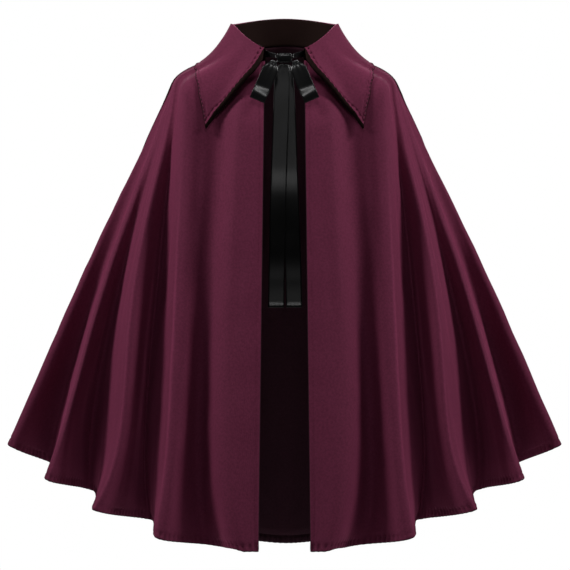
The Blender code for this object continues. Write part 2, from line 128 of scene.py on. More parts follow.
BACK_FOLDS_LEFT = (
    Fold(0.338, 0.084, -0.583, 92.7, 0.000, 0.004, 0.000, 1.2, 1.2),
    Fold(0.350, 0.148, -0.601, 95.8, 0.000, 0.008, 0.010, 0.9, 0.9),
    Fold(0.280, 0.106, -0.623, 99.0, 0.000, 0.004, 0.000, 1.2, 1.2),
    Fold(0.278, 0.212, -0.650, 105.0, 0.003, 0.006, 0.010, 0.9, 0.9),
    Fold(0.198, 0.162, -0.668, 118.0, -0.004, 0.000, 0.000, 1.2, 1.2),
    Fold(0.172, 0.254, -0.686, 135.0, 0.006, 0.000, 0.006, 1.0, 1.0),
    Fold(0.092, 0.204, -0.705, 156.0, -0.005, 0.000, 0.000, 1.2, 1.2),
)
CENTRE_BACK = Fold(0.000, 0.252, -0.721, 180.0, 0.005, 0.000, 0.000, 1.0, 1.0)
RIGHT_SEAM = len(FRONT_FOLDS) - 1
CENTRE = RIGHT_SEAM + len(BACK_FOLDS_RIGHT) + 1
LEFT_SEAM = CENTRE + len(BACK_FOLDS_LEFT) + 1
LAST_FOLD = LEFT_SEAM + RIGHT_SEAM

# The fall of the cloth: the share over the shoulders, and how the folds grow from there to the hem
YOKE_SHARE = 0.20
FLICK_POWER = 8.5
FRONT_GROWTH = 1.3
SIDE_GROWTH = 2.3
SIDE_GROWTH_POWER = 4
BULGE_PEAK = 16
YOKE_ARRIVAL = 0.9
ARRIVAL_STEP = 0.05
NORMAL_STEP = 0.004

# Cloth: thickness of one layer and of the turned hem, and the panels' mesh
CLOTH_WALL = 0.0011
HEM_WALL = 0.0019
HEM_TURN = 0.0095
TURN_STEP = 0.002
RIM_ROUNDNESS = 0.42
SEAM_DRAWBACK = 0.00018
COLUMN_STEP = 0.0019
BACK_COLUMN_STEP = 0.0026
FINE_STEPS_PER_FOLD = 200
YOKE_ROWS = 14
FALL_ROWS = 32
HEM_ROWS = 9
HEM_ZONE = 0.972
LINING_COLUMNS_PER_FOLD = 10
LINING_EDGE_COLUMNS = 2
LINING_ROWS = 70
LINING_DEPTH = 0.0028
LINING_WALL = 0.0008
LINING_TOP_SHARE = 0.0005
LINING_HEM_SHARE = 0.985

# Soft creases on the cloth: the fold number where each starts, how far it leans, its ends as shares of
# the length, and its width in fold numbers. A ridge has a positive depth, a trough a negative one.
# A skew below 1 puts the deepest place above the middle. Pressed lines also carry a painted highlight: the
# cloth's colour is made lighter along them.
Crease = namedtuple("Crease", "fold lean top bottom width depth")
CREASE_SKEW = 0.8
PRESSED_LINES = (
    Crease(3.00, 0.08, 0.30, 1.25, 0.055, 0.0014),
    Crease(4.98, 0.06, 0.40, 1.30, 0.050, 0.0012),
)
FRONT_CREASES = (
    Crease(0.64, 0.10, 0.26, 0.84, 0.20, -0.0020),
    Crease(1.04, 0.00, 0.28, 1.30, 0.42, -0.0065),
    Crease(2.42, 0.12, 0.20, 0.62, 0.16, -0.0018),
    Crease(2.60, -0.06, 0.52, 0.97, 0.11, 0.0014),
    Crease(3.50, 0.08, 0.30, 0.78, 0.13, -0.0020),
    Crease(4.40, 0.06, 0.44, 0.96, 0.12, 0.0018),
    Crease(5.55, -0.06, 0.30, 0.82, 0.12, -0.0018),
    Crease(6.45, 0.05, 0.50, 1.00, 0.12, 0.0016),
    Crease(7.50, 0.04, 0.36, 0.88, 0.12, -0.0016),
    Crease(8.40, -0.05, 0.42, 0.95, 0.14, 0.0016),
    Crease(8.66, 0.00, 0.30, 1.50, 0.20, 0.0070),
)
BACK_CREASES = (
    Crease(10.50, 0.06, 0.34, 0.90, 0.13, -0.0018),
    Crease(11.45, -0.05, 0.42, 0.98, 0.12, 0.0016),
    Crease(12.52, 0.08, 0.26, 0.72, 0.15, -0.0020),
    Crease(13.55, -0.07, 0.48, 0.99, 0.11, 0.0016),
    Crease(14.45, 0.10, 0.24, 0.70, 0.16, -0.0022),
    Crease(15.60, -0.10, 0.40, 0.92, 0.14, 0.0018),
    Crease(16.35, 0.12, 0.20, 0.64, 0.20, -0.0020),
    Crease(17.40, -0.08, 0.44, 0.96, 0.14, 0.0018),
    Crease(18.55, 0.09, 0.30, 0.86, 0.15, -0.0019),
    Crease(19.45, -0.06, 0.22, 0.60, 0.17, 0.0016),
    Crease(20.50, 0.07, 0.50, 1.00, 0.12, -0.0017),
    Crease(21.60, 0.06, 0.28, 0.80, 0.13, 0.0017),
    Crease(22.45, -0.08, 0.36, 0.94, 0.14, -0.0019),
    Crease(23.55, 0.05, 0.46, 0.97, 0.11, 0.0015),
    Crease(24.40, -0.06, 0.32, 0.84, 0.13, -0.0016),
)

# Slow unevenness of hanging cloth: waves in the flat cut, in waves per metre and depth
Ripple = namedtuple("Ripple", "across down phase depth")
RIPPLES = (
    Ripple(19.0, 3.1, 0.4, 0.00022),
    Ripple(-11.0, 6.3, 2.1, 0.00024),
    Ripple(33.0, 4.7, 4.4, 0.00010),
    Ripple(7.0, 17.0, 1.3, 0.00014),
)

# Sewing: distance of each stitched line from its edge, and the puckers that it draws in
FRONT_STITCH_LINE = 0.0052
HEM_STITCH_LINE = 0.0085
COLLAR_STITCH_LINE = 0.0055
COLLAR_SEAM_LINE = 0.0012
HEM_PUCKER = 0.0026
FRONT_PUCKER = 0.0003
COLLAR_PUCKER = 0.0026
SEAM_PUCKER = 0.0007
GROOVE_HALF = 0.0012
GROOVE_DEPTH = 0.0008
SEAM_ROLL = 0.0008
SEAM_ROLL_REACH = 0.0028
PUCKER_PITCH = 0.0092
PUCKER_SHARPNESS = 0.24
PUCKER_CENTRE = 0.6
# The puckers' spacing and strength drift along the edge, as sums of slow waves
Wave = namedtuple("Wave", "size length phase")
PUCKER_DRIFT = (Wave(0.35, 0.047, 0.0), Wave(0.22, 0.019, 1.3))
PUCKER_STRENGTH = 0.60
PUCKER_VARIATION = (Wave(0.28, 0.061, 0.7), Wave(0.22, 0.0137, 2.0))
# Painted light in the cloth's colour for each metre of relief: a painted highlight on pressed lines, a
# painted shadow in pinches
PRESSED_PAINTED_HIGHLIGHT = 330
PINCH_PAINTED_SHADOW = 170
COLLAR_PINCH_PAINTED_SHADOW = 50
# Stitches, and the rings of points along each one
Stitch = namedtuple("Stitch", "pitch length radius")
EDGE_STITCH = Stitch(0.0032, 0.0025, 0.00026)
SEAM_STITCH = Stitch(0.0062, 0.0044, 0.00055)
STITCH_SIDES = 5
StitchRing = namedtuple("StitchRing", "along girth lift")
STITCH_RINGS = (
    StitchRing(0.0, 0.35, -0.7),
    StitchRing(0.2, 1.00, 0.2),
    StitchRing(0.8, 1.00, 0.2),
    StitchRing(1.0, 0.35, -0.7),
)

# Collar leaf, one row for each place from its front edge to the centre back: the fold numbers at the roll
# line and at its outer edge, and the share of the cloth's length at which that edge lies
LeafRow = namedtuple("LeafRow", "roll_fold edge_fold edge_share")
LEAF_ROWS = (
    LeafRow(0.0, 2.34, 0.2325),
    LeafRow(1.4, 2.54, 0.1785),
    LeafRow(2.9, 2.92, 0.1395),
    LeafRow(4.7, 4.05, 0.1200),
    LeafRow(9.0, 9.00, 0.1000),
    LeafRow(13.0, 13.0, 0.1010),
    LeafRow(17.0, 17.0, 0.1050),
)
LEAF_CLEARANCE = 0.0010
LEAF_DROOP_POWER = 1.75
LEAF_FRONT_LIFT = 0.0045
LEAF_LIFT_ROWS = 1.6
LEAF_EDGE_BOW = 0.85
LEAF_LANDING_RATE = 3
LEAF_WALL = 0.0018
LEAF_EDGE_ROLL = 0.0014
LEAF_ROLL_REACH = 0.0045
LEAF_COLUMNS_PER_ROW = 34
LEAF_STEPS = 100
# Painted shadow: the leaf's near-black under face is carried down and out past its front edges, standing
# for the shadow in the gap under them
LEAF_PAINTED_SHADOW_REACH = 0.0055
LEAF_PAINTED_SHADOW_DROP = 0.0025
LEAF_PAINTED_SHADOW_START = 0.12
# The leaf's roll over the stand, and the stand
ROLL_CLEARANCE = 0.0005
ROLL_TURNS = (1.75, 1.3, 0.85, 0.4)
ROLL_CORE = 0.15
STAND_WALL = 0.0015
STAND_INSET = 0.0006
STAND_STEPS = 12
STAND_TOP = 0.985
SEAM_GAP = 0.0003

# Ribbon bow
RIBBON_WALL = 0.0007
RIBBON_WIDTH = 0.022
RIBBON_COLUMNS = 13
KNOT_CENTRE = np.array((0.0, -0.091, -0.006))
KNOT_HALF = np.array((0.0115, 0.0070, 0.0074))
KNOT_SQUARENESS = 0.36
KNOT_COLUMNS = 64
KNOT_ROWS = 32
# Creases of the knot's wrap, as shares of its size, and how far it is drawn in to make room for them
KnotCrease = namedtuple("KnotCrease", "depth round along phase")
KNOT_CREASES = (KnotCrease(0.03, 6, 1.4, math.pi / 2), KnotCrease(0.02, 11, -2.2, 0.8))
KNOT_CREASE_ROOM = 0.05
TIE_WIDTH_AT_STAND = 0.013
TIE_WIDTH_AT_KNOT = 0.006
TIE_RISE_AT_KNOT = 0.003
TIE_LOW_SHARE = 0.15
TIE_HIGH_SHARE = 0.95
TIE_STATIONS = 14
TIE_GATHER = 0.8
TIE_GAP = 0.0006
LOOP_LENGTH = 0.0625
LOOP_LEAN = math.radians(23.5)
LOOP_ROOT_WIDTH = 0.007
LOOP_ROOT_DROP = 0.004
LOOP_ROOT_TUCK = 0.0008
LOOP_HALF_DEPTH = 0.0050
LOOP_FORWARD = 0.026
LOOP_ROOT_OPENNESS = 0.35
LOOP_SPREAD_RATE = 4
LOOP_DROP_POWER = 20
LOOP_TWIST = 0.22
LOOP_TWIST_POWER = 3
LOOP_KICK = 0.0044
LOOP_KICK_START = 0.64
LOOP_KICK_SPAN = 0.26
LOOP_PLEAT_POWER = 3
LOOP_STATIONS = 120
# Middle lines of the tails from the knot down: height, depth, each tail's x, and width
TailRow = namedtuple("TailRow", "z y left right width")
TAIL_ROWS = (
    TailRow(-0.0145, -0.0932, -0.0010, 0.0006, 0.012),
    TailRow(-0.0240, -0.0948, -0.0026, 0.0012, 0.020),
    TailRow(-0.0450, -0.0985, -0.0036, 0.0024, RIBBON_WIDTH),
    TailRow(-0.1050, -0.1100, -0.0056, 0.0054, RIBBON_WIDTH),
    TailRow(-0.1600, -0.1216, -0.0075, 0.0072, RIBBON_WIDTH),
    TailRow(-0.2050, -0.1325, -0.0088, 0.0088, RIBBON_WIDTH),
    TailRow(-0.2450, -0.1345, -0.0097, 0.0104, RIBBON_WIDTH),
    TailRow(-0.2850, -0.1265, -0.0105, 0.0118, RIBBON_WIDTH),
    TailRow(-0.3250, -0.1335, -0.0112, 0.0128, RIBBON_WIDTH),
    TailRow(-0.3605, -0.1425, -0.0118, 0.0136, RIBBON_WIDTH),
)
TAIL_FRONT_STEP = 0.0016
TAIL_STEPS_PER_ROW = 12
TAIL_HEM = 0.0050
TAIL_HEM_STEP = 0.0005
TAIL_HEM_RISE = 0.0012
TAIL_GATHER = 0.012
PLEAT_DEPTH = 0.0003
PLEATS = 3.0

LEVEL = np.array((1.0, 1.0, 0.0))
SIDEWAYS = np.array((1.0, 0.0, 0.0))
UP = np.array((0.0, 0.0, 1.0))


# Curves

def unit(vectors):
    return vectors / np.linalg.norm(vectors, axis=-1, keepdims=True)


def smooth_step(values):
    share = np.clip(values, 0.0, 1.0)
    return share * share * (3 - 2 * share)


def hermite(start, start_tangent, end, end_tangent, t):
    square = t * t
    cube = square * t
    return (
        start * (2 * cube - 3 * square + 1)
        + start_tangent * (cube - 2 * square + t)
        + end * (3 * square - 2 * cube)
        + end_tangent * (cube - square)
    )


def spline(values, position, fullness=None):
    """Smooth curve through a list of numbers or points, at fractional indices."""
    knots = np.asarray(values, dtype=float)
    even = np.ones(len(knots))
    before_knot, after_knot = (even, even) if fullness is None else fullness
    before = 2 * knots[:1] - knots[1:2]
    after = 2 * knots[-1:] - knots[-2:-1]
    knots = np.concatenate((before, knots, after))
    position = np.asarray(position, dtype=float)
    start = np.clip(np.floor(position).astype(int), 0, len(values) - 2)
    p0, p1, p2, p3 = (knots[start + step] for step in range(4))
    t = position - start
    leaving = after_knot[start] / 2
    arriving = before_knot[start + 1] / 2
    if knots.ndim > 1:
        t, leaving, arriving = t[..., None], leaving[..., None], arriving[..., None]
    return hermite(p1, (p2 - p0) * leaving, p2, (p3 - p1) * arriving, t)


def ring_points(ring, degrees):
    angle = np.radians(degrees)
    forward = np.cos(angle)
    depth = np.where(forward > 0, ring.front, ring.back)
    end_z = np.where(forward > 0, ring.front_z, ring.back_z)
    height = ring.side_z + (end_z - ring.side_z) * forward ** 2
    return np.stack((ring.side * np.sin(angle), -depth * forward, height), axis=-1)


# The draped surface: fold number round the hem, and share of length from neck seam to hem

def mirrored(fold):
    return fold._replace(x=-fold.x, angle=360 - fold.angle, before=fold.after, after=fold.before)


FOLDS = (
    list(FRONT_FOLDS)
    + list(BACK_FOLDS_RIGHT)
    + [CENTRE_BACK]
    + [mirrored(fold) for fold in reversed(BACK_FOLDS_LEFT)]
    + [mirrored(fold) for fold in reversed(FRONT_FOLDS)]
)
HEM_POINTS = np.array([(fold.x, fold.y, fold.z) for fold in FOLDS])
SMOOTH_HEM = HEM_POINTS.copy()
SMOOTH_HEM[1:-1] = (HEM_POINTS[:-2] + 2 * HEM_POINTS[1:-1] + HEM_POINTS[2:]) / 4
RING_ANGLES = [fold.angle for fold in FOLDS]
PUSHES = [fold.push for fold in FOLDS]
BULGES = [fold.bulge for fold in FOLDS]
FLICKS = [math.copysign(fold.flick, fold.flick * fold.x) for fold in FOLDS]
FULLNESS = [np.array([fold.before for fold in FOLDS]), np.array([fold.after for fold in FOLDS])]


def neck_angle(fold):
    """Angle on the neck seam, spread evenly over each front and over each half of the back."""
    from_front = np.minimum(fold, LAST_FOLD - fold)
    on_front = NECK_EDGE_ANGLE + (90 - NECK_EDGE_ANGLE) * from_front / RIGHT_SEAM
    on_back = 90 + 90 * (from_front - RIGHT_SEAM) / (CENTRE - RIGHT_SEAM)
    angle = np.where(from_front <= RIGHT_SEAM, on_front, on_back)
    return np.where(fold <= CENTRE, angle, 360 - angle)


def neck_slope(degrees):
    forward = np.cos(np.radians(degrees))
    end_slope = np.where(forward > 0, NECK_SLOPE_FRONT, NECK_SLOPE_BACK)
    return np.radians(NECK_SLOPE_SIDE + (end_slope - NECK_SLOPE_SIDE) * forward ** 2)


def fall_points(fold, share):
    """The cloth below the shoulder ring: fold lines nearly straight, flicked out at the hem."""
    at_ring = spline(RING_ANGLES, fold)
    ring = ring_points(SHOULDER, at_ring)
    hem = spline(HEM_POINTS, fold, FULLNESS)
    smooth_hem = spline(SMOOTH_HEM, fold)
    outward = unit((smooth_hem - ring) * LEVEL)
    swell = spline(BULGES, fold) * BULGE_PEAK * (share * (1 - share)) ** 2
    swell = swell + spline(PUSHES, fold) * (1 - share)
    flick = spline(FLICKS, fold) * (share ** FLICK_POWER - share)
    sideness = np.sin(np.radians(at_ring)) ** SIDE_GROWTH_POWER
    growth = FRONT_GROWTH + (SIDE_GROWTH - FRONT_GROWTH) * sideness
    fold_share = np.stack((share, share ** growth, share), axis=-1)
    fall = (smooth_hem - ring) * share[..., None] + (hem - smooth_hem) * fold_share
    return ring + fall + outward * swell[..., None] + SIDEWAYS * flick[..., None]


def yoke_points(fold, share):
    """The cloth over the shoulders, from the neck seam to the shoulder ring."""
    at_neck = neck_angle(fold)
    start = ring_points(NECK_SEAM, at_neck)
    end = fall_points(fold, np.zeros_like(fold))
    slope = neck_slope(at_neck)[..., None]
    outward = unit((end - start) * LEVEL)
    leaving = outward * np.cos(slope) - UP * np.sin(slope)
    arriving = unit(fall_points(fold, np.full_like(fold, ARRIVAL_STEP)) - end)
    span = np.linalg.norm(end - start, axis=-1, keepdims=True)
    return hermite(start, leaving * span, end, arriving * span * YOKE_ARRIVAL, share[..., None])


def cloth_points(fold, share):
    fold, share = np.broadcast_arrays(np.asarray(fold, float), np.asarray(share, float))
    on_yoke = yoke_points(fold, np.minimum(share / YOKE_SHARE, 1.0))
    below = fall_points(fold, np.maximum(share - YOKE_SHARE, 0.0) / (1 - YOKE_SHARE))
    return np.where((share < YOKE_SHARE)[..., None], on_yoke, below)


def cloth_normals(fold, share):
    fold, share = np.broadcast_arrays(np.asarray(fold, float), np.asarray(share, float))
    across = cloth_points(np.minimum(fold + NORMAL_STEP, LAST_FOLD), share)
    across = across - cloth_points(np.maximum(fold - NORMAL_STEP, 0.0), share)
    down = cloth_points(fold, np.minimum(share + NORMAL_STEP, 1.0))
    down = down - cloth_points(fold, np.maximum(share - NORMAL_STEP, 0.0))
    return unit(np.cross(down, across))


# Grids of points: rows run down, columns run round from the front edge at +X

def grid_normals(grid):
    return unit(np.cross(np.gradient(grid, axis=0), np.gradient(grid, axis=1)))


def from_edge(grid, edge):
    """Distance of each grid point from the top, bottom, first or last edge, along the grid lines."""
    axis = 1 if edge in ("first", "last") else 0
    steps = np.linalg.norm(np.diff(grid, axis=axis), axis=-1)
    arcs = np.insert(np.cumsum(steps, axis=axis), 0, 0.0, axis=axis)
    if edge in ("bottom", "last"):
        arcs = arcs.take([-1], axis=axis) - arcs
    return arcs


def grid_area(grid):
    one = np.cross(grid[1:, :-1] - grid[:-1, :-1], grid[:-1, 1:] - grid[:-1, :-1])
    two = np.cross(grid[1:, :-1] - grid[1:, 1:], grid[:-1, 1:] - grid[1:, 1:])
    return float((np.linalg.norm(one, axis=-1) + np.linalg.norm(two, axis=-1)).sum() / 2)


Cut = namedtuple("Cut", "places width length area")


def sector_cut(grid):
    """Flat cut of a flared panel, a sector of a ring, with each grid point's place on it."""
    down = from_edge(grid, "top")
    across = from_edge(grid, "first")
    hem = across[-1, -1]
    length = down[-1].mean()
    neck_share = across[0, -1] / hem
    inner = length * neck_share / (1 - neck_share)
    outer = inner + length
    angle = (across[-1] - hem / 2) / outer
    radius = inner + down
    places = np.stack((radius * np.sin(angle), -radius * np.cos(angle)), axis=-1)
    half = hem / 2 / outer
    width = 2 * outer * math.sin(min(half, math.pi / 2))
    height = outer - inner * math.cos(half)
    return Cut(places, width, height, half * (outer ** 2 - inner ** 2))


def strip_cut(grid):
    """Flat cut of a strip, measured along its own lines, with each grid point's place on it."""
    across = from_edge(grid, "first")
    down = from_edge(grid, "top")
    places = np.stack((across - across[:, -1:] / 2, -down), axis=-1)
    return Cut(places, across[:, -1].max(), down[-1].max(), grid_area(grid))


# Meshes

def border_cells(rows, columns):
    """Row and column numbers round a grid's edge, in order."""
    top = [(0, c) for c in range(columns - 1)]
    last = [(r, columns - 1) for r in range(rows - 1)]
    bottom = [(rows - 1, c) for c in range(columns - 1, 0, -1)]
    first = [(r, 0) for r in range(rows - 1, 0, -1)]
    return np.array(top + last + bottom + first)


def quads(first, second):
    """Faces between two closed loops of vertex numbers."""
    return np.stack((first, np.roll(first, -1), np.roll(second, -1), second), axis=-1)


def rim_points(outer, inner, cells):
    """Points that round off the edge between two grids."""
    rows, columns = outer.shape[:2]
    r, c = cells[:, 0], cells[:, 1]
    beside = outer[np.clip(r, 1, rows - 2), np.clip(c, 1, columns - 2)]
    wall = outer[r, c] - inner[r, c]
    outward = unit(outer[r, c] - beside)
    reach = np.linalg.norm(wall, axis=-1, keepdims=True) * RIM_ROUNDNESS
    return (outer[r, c] + inner[r, c]) / 2 + outward * reach


def add_object(name, vertices, faces, materials):
    mesh = bpy.data.meshes.new(name)
    mesh.from_pydata(vertices.tolist(), [], faces)
    for material in materials:
        mesh.materials.append(material)
    mesh.shade_smooth()
    thing = bpy.data.objects.new(name, mesh)
    bpy.context.scene.collection.objects.link(thing)
    return thing


def add_shell(name, outer, inner, places, materials, painted_light=None):
    """Closed sheet between two grids, with a rounded edge; a second material is its edge and inside."""
    rows, columns = outer.shape[:2]
    near = np.arange(rows * columns).reshape(rows, columns)
    far = near + rows * columns
    cells = border_cells(rows, columns)
    rim = np.arange(len(cells)) + 2 * rows * columns
    near_edge = near[cells[:, 0], cells[:, 1]]
    far_edge = far[cells[:, 0], cells[:, 1]]
    outside = np.stack((near[:-1, :-1], near[1:, :-1], near[1:, 1:], near[:-1, 1:]), axis=-1)
    inside = np.stack((far[:-1, :-1], far[:-1, 1:], far[1:, 1:], far[1:, :-1]), axis=-1)
    faces = [outside.reshape(-1, 4), quads(near_edge, rim), quads(rim, far_edge), inside.reshape(-1, 4)]
    vertices = [outer.reshape(-1, 3), inner.reshape(-1, 3), rim_points(outer, inner, cells)]
    all_faces = np.concatenate(faces)
    thing = add_object(name, np.concatenate(vertices), all_faces.tolist(), materials)
    flat = places.reshape(-1, 2)
    flat = np.concatenate((flat, flat, places[cells[:, 0], cells[:, 1]]))
    layer = thing.data.uv_layers.new(name="flat_cut")
    layer.data.foreach_set("uv", flat[all_faces.ravel()].ravel())
    # Painted highlight and painted shadow, kept on each point for the cloth's colour
    if painted_light is not None:
        every_painted_light = np.concatenate((painted_light.ravel(), painted_light.ravel(), painted_light[cells[:, 0], cells[:, 1]]))
        layer = thing.data.attributes.new("painted_light", "FLOAT", "POINT")
        layer.data.foreach_set("value", every_painted_light)
    slots = np.zeros(len(all_faces), dtype=np.int32)
    slots[len(faces[0]):] = len(materials) - 1
    thing.data.polygons.foreach_set("material_index", slots)
    return thing


def place(piece, slot, *nodes):
    """Puts a piece on the capelet's one body, in place of its solids."""
    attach(piece, BODY)
    if nodes:
        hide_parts(*nodes)


# Sewing

def wave_sum(waves, along):
    return sum(wave.size * np.sin(along / wave.length + wave.phase) for wave in waves)


def pucker(along, depth):
    """Small pinches along a sewn edge, uneven in spacing and depth."""
    drift = wave_sum(PUCKER_DRIFT, along)
    phase = np.mod(along / PUCKER_PITCH + drift, 1.0) - 0.5
    strength = PUCKER_STRENGTH + wave_sum(PUCKER_VARIATION, along)
    return -depth * strength * np.exp(-(phase / PUCKER_SHARPNESS) ** 2)


def sewn_edge(along, distance, line, depth):
    """Groove of the stitches, and puckers round it, beside an edge that is turned and stitched."""
    groove = -GROOVE_DEPTH * np.exp(-((distance - line) / GROOVE_HALF) ** 2)
    near_line = np.exp(-((distance - line * PUCKER_CENTRE) / (line * PUCKER_CENTRE)) ** 2)
    return groove, pucker(along, depth) * near_line


def inset_line(grid, normals, edge, distance):
    """Points and normals on a line that keeps its distance from one edge of a grid."""
    arcs = from_edge(grid, edge)
    if edge in ("first", "last"):
        arcs = arcs.T
        grid = grid.transpose(1, 0, 2)
        normals = normals.transpose(1, 0, 2)
    if edge in ("bottom", "last"):
        arcs, grid, normals = arcs[::-1], grid[::-1], normals[::-1]
    row_numbers = np.arange(len(arcs))
    reached = np.array([np.interp(distance, arcs[:, c], row_numbers) for c in range(arcs.shape[1])])
    row = np.minimum(reached.astype(int), len(arcs) - 2)
    share = (reached - row)[:, None]
    column = np.arange(arcs.shape[1])
    points = grid[row, column] * (1 - share) + grid[row + 1, column] * share
    return points, unit(normals[row, column] * (1 - share) + normals[row + 1, column] * share)


def along_path(path, distances):
    points, normals = path
    arcs = np.insert(np.cumsum(np.linalg.norm(np.diff(points, axis=0), axis=-1)), 0, 0.0)
    spots = np.stack([np.interp(distances, arcs, points[:, axis]) for axis in range(3)], axis=-1)
    lift = np.stack([np.interp(distances, arcs, normals[:, axis]) for axis in range(3)], axis=-1)
    return spots, unit(lift)


def path_length(path):
    return np.linalg.norm(np.diff(path[0], axis=0), axis=-1).sum()


def thread_points(path, stitch):
    """Points of the stitches along one path: a ring of points at each place along each stitch."""
    starts = np.arange(stitch.pitch, path_length(path) - stitch.pitch, stitch.pitch)
    begin, lift = along_path(path, starts)
    end, _ = along_path(path, starts + stitch.length)
    run = end - begin
    side = unit(np.cross(run, lift))
    turns = (np.arange(STITCH_SIDES) * 2 * math.pi / STITCH_SIDES)[:, None]
    offset = side[:, None] * np.cos(turns) + lift[:, None] * np.sin(turns)
    rings = []
    for ring in STITCH_RINGS:
        centre = begin + run * ring.along + lift * ring.lift * stitch.radius
        rings.append(centre[:, None] + offset * ring.girth * stitch.radius)
    return np.stack(rings, axis=1)


def add_stitches(name, paths, stitch, material):
    """Running stitches along paths on the cloth, each a short thread that dips in at its ends."""
    threads = np.concatenate([thread_points(path, stitch) for path in paths])
    count = threads.shape[0] * threads.shape[1] * threads.shape[2]
    numbers = np.arange(count).reshape(threads.shape[:3])
    around = np.roll(numbers, -1, axis=2)
    sides = np.stack((numbers[:, :-1], around[:, :-1], around[:, 1:], numbers[:, 1:]), axis=-1)
    faces = sides.reshape(-1, 4).tolist() + numbers[:, 0, ::-1].tolist() + numbers[:, -1].tolist()
    return add_object(name, threads.reshape(-1, 3), faces, [material])


# Cloth panels

def crease_relief(creases, fold, share):
    relief = np.zeros(np.broadcast(fold, share).shape)
    for crease in creases:
        t = (share - crease.top) / (crease.bottom - crease.top)
        inside = np.clip(t, 0.0, 1.0)
        window = np.sin(math.pi * inside ** CREASE_SKEW) ** 2
        offset = fold - crease.fold - crease.lean * inside
        relief = relief + crease.depth * window * np.exp(-(offset / crease.width) ** 2)
    return relief


def ripple_relief(places):
    relief = 0.0
    for ripple in RIPPLES:
        turns = places[..., 0] * ripple.across + places[..., 1] * ripple.down
        relief = relief + ripple.depth * np.sin(2 * math.pi * turns + ripple.phase)
    return relief


def mirrored_creases(creases):
    return [crease._replace(fold=LAST_FOLD - crease.fold, lean=-crease.lean) for crease in creases]


def panel_shares():
    yoke = np.linspace(0.0, YOKE_SHARE, YOKE_ROWS + 1)[:-1]
    fall = np.linspace(YOKE_SHARE, HEM_ZONE, FALL_ROWS + 1)[:-1]
    hem = np.linspace(HEM_ZONE, 1.0, HEM_ROWS + 1)
    return np.concatenate((yoke, fall, hem))[:, None]


def panel_folds(first, last, step):
    """Fold numbers of a panel's columns, spaced evenly along its hem."""
    fine = np.linspace(first, last, (last - first) * FINE_STEPS_PER_FOLD + 1)
    hem = from_edge(cloth_points(fine[None, :], np.ones((2, 1))), "first")[0]
    count = int(hem[-1] / step)
    return np.interp(np.linspace(0.0, hem[-1], count + 1), hem, fine)[None, :]


def drawn_back(grid):
    """The grid with its side edges drawn in from the neighbouring panels."""
    grid = grid.copy()
    grid[:, 0] += unit(grid[:, 1] - grid[:, 0]) * SEAM_DRAWBACK
    grid[:, -1] += unit(grid[:, -2] - grid[:, -1]) * SEAM_DRAWBACK
    return grid


Panel = namedtuple("Panel", "name node first last creases pressed_lines open_edge")


def panel_relief(panel, base, places, fold, share):
    """Relief of a panel's creases, hem and seams, and the painted highlight and painted shadow that go with
    it.
    """
    above_hem = from_edge(base, "bottom")
    along_hem = from_edge(base, "first")[-1:]
    pressed = crease_relief(panel.pressed_lines, fold, share)
    groove, pinches = sewn_edge(along_hem, above_hem, HEM_STITCH_LINE, HEM_PUCKER)
    # Painted highlight along the pressed lines and painted shadow in the hem's pinches
    painted_light = pressed * PRESSED_PAINTED_HIGHLIGHT + pinches * PINCH_PAINTED_SHADOW
    relief = crease_relief(panel.creases, fold, share) + ripple_relief(places)
    relief = relief + pressed + groove + pinches
    for edge in ("first", "last"):
        inside = from_edge(base, edge)
        if edge == panel.open_edge:
            groove, pinches = sewn_edge(above_hem, inside, FRONT_STITCH_LINE, FRONT_PUCKER)
            relief = relief + groove + pinches
        else:
            relief = relief - SEAM_ROLL * np.exp(-(inside / SEAM_ROLL_REACH) ** 2)
    return relief, painted_light


def panel_thickness(panel, base):
    """Thickness of the cloth, greater where the hem and the open front edge are turned in."""
    turned = smooth_step((HEM_TURN - from_edge(base, "bottom")) / TURN_STEP)
    if panel.open_edge:
        inside = from_edge(base, panel.open_edge)
        turned = np.maximum(turned, smooth_step((HEM_TURN - inside) / TURN_STEP))
    return CLOTH_WALL + (HEM_WALL - CLOTH_WALL) * turned


def build_panel(panel, cloth, wrong_side):
    """One flared panel with its creases, turned hem, seams and stitching."""
    fold = panel_folds(panel.first, panel.last, COLUMN_STEP if panel.open_edge else BACK_COLUMN_STEP)
    share = panel_shares()
    base = drawn_back(cloth_points(fold, share))
    cut = sector_cut(base)
    relief, painted_light = panel_relief(panel, base, cut.places, fold, share)
    outer = base + grid_normals(base) * relief[..., None]
    normals = grid_normals(outer)
    inner = outer - normals * panel_thickness(panel, base)[..., None]
    shell = add_shell(panel.name, outer, inner, cut.places, [cloth, wrong_side], painted_light)
    paths = [inset_line(outer, normals, "bottom", HEM_STITCH_LINE)]
    if panel.open_edge:
        paths.append(inset_line(outer, normals, panel.open_edge, FRONT_STITCH_LINE))
    stitches = add_stitches("stitches_" + panel.name, paths, EDGE_STITCH, cloth)
    return shell, stitches, cut


def add_panels(cloth, dark):
    left_creases = mirrored_creases(FRONT_CREASES)
    left_lines = mirrored_creases(PRESSED_LINES)
    rows = (
        Panel("cloth_front_right", "front_right", 0, RIGHT_SEAM, FRONT_CREASES, PRESSED_LINES, "first"),
        Panel("cloth_back", "back", RIGHT_SEAM, LEFT_SEAM, BACK_CREASES, (), None),
        Panel("cloth_front_left", "front_left", LEFT_SEAM, LAST_FOLD, left_creases, left_lines, "last"),
    )
    for row in rows:
        panel, stitches, cut = build_panel(row, cloth, dark)
        place(panel, "burgundy_cloth", row.node)
        place(stitches, "burgundy_cloth")


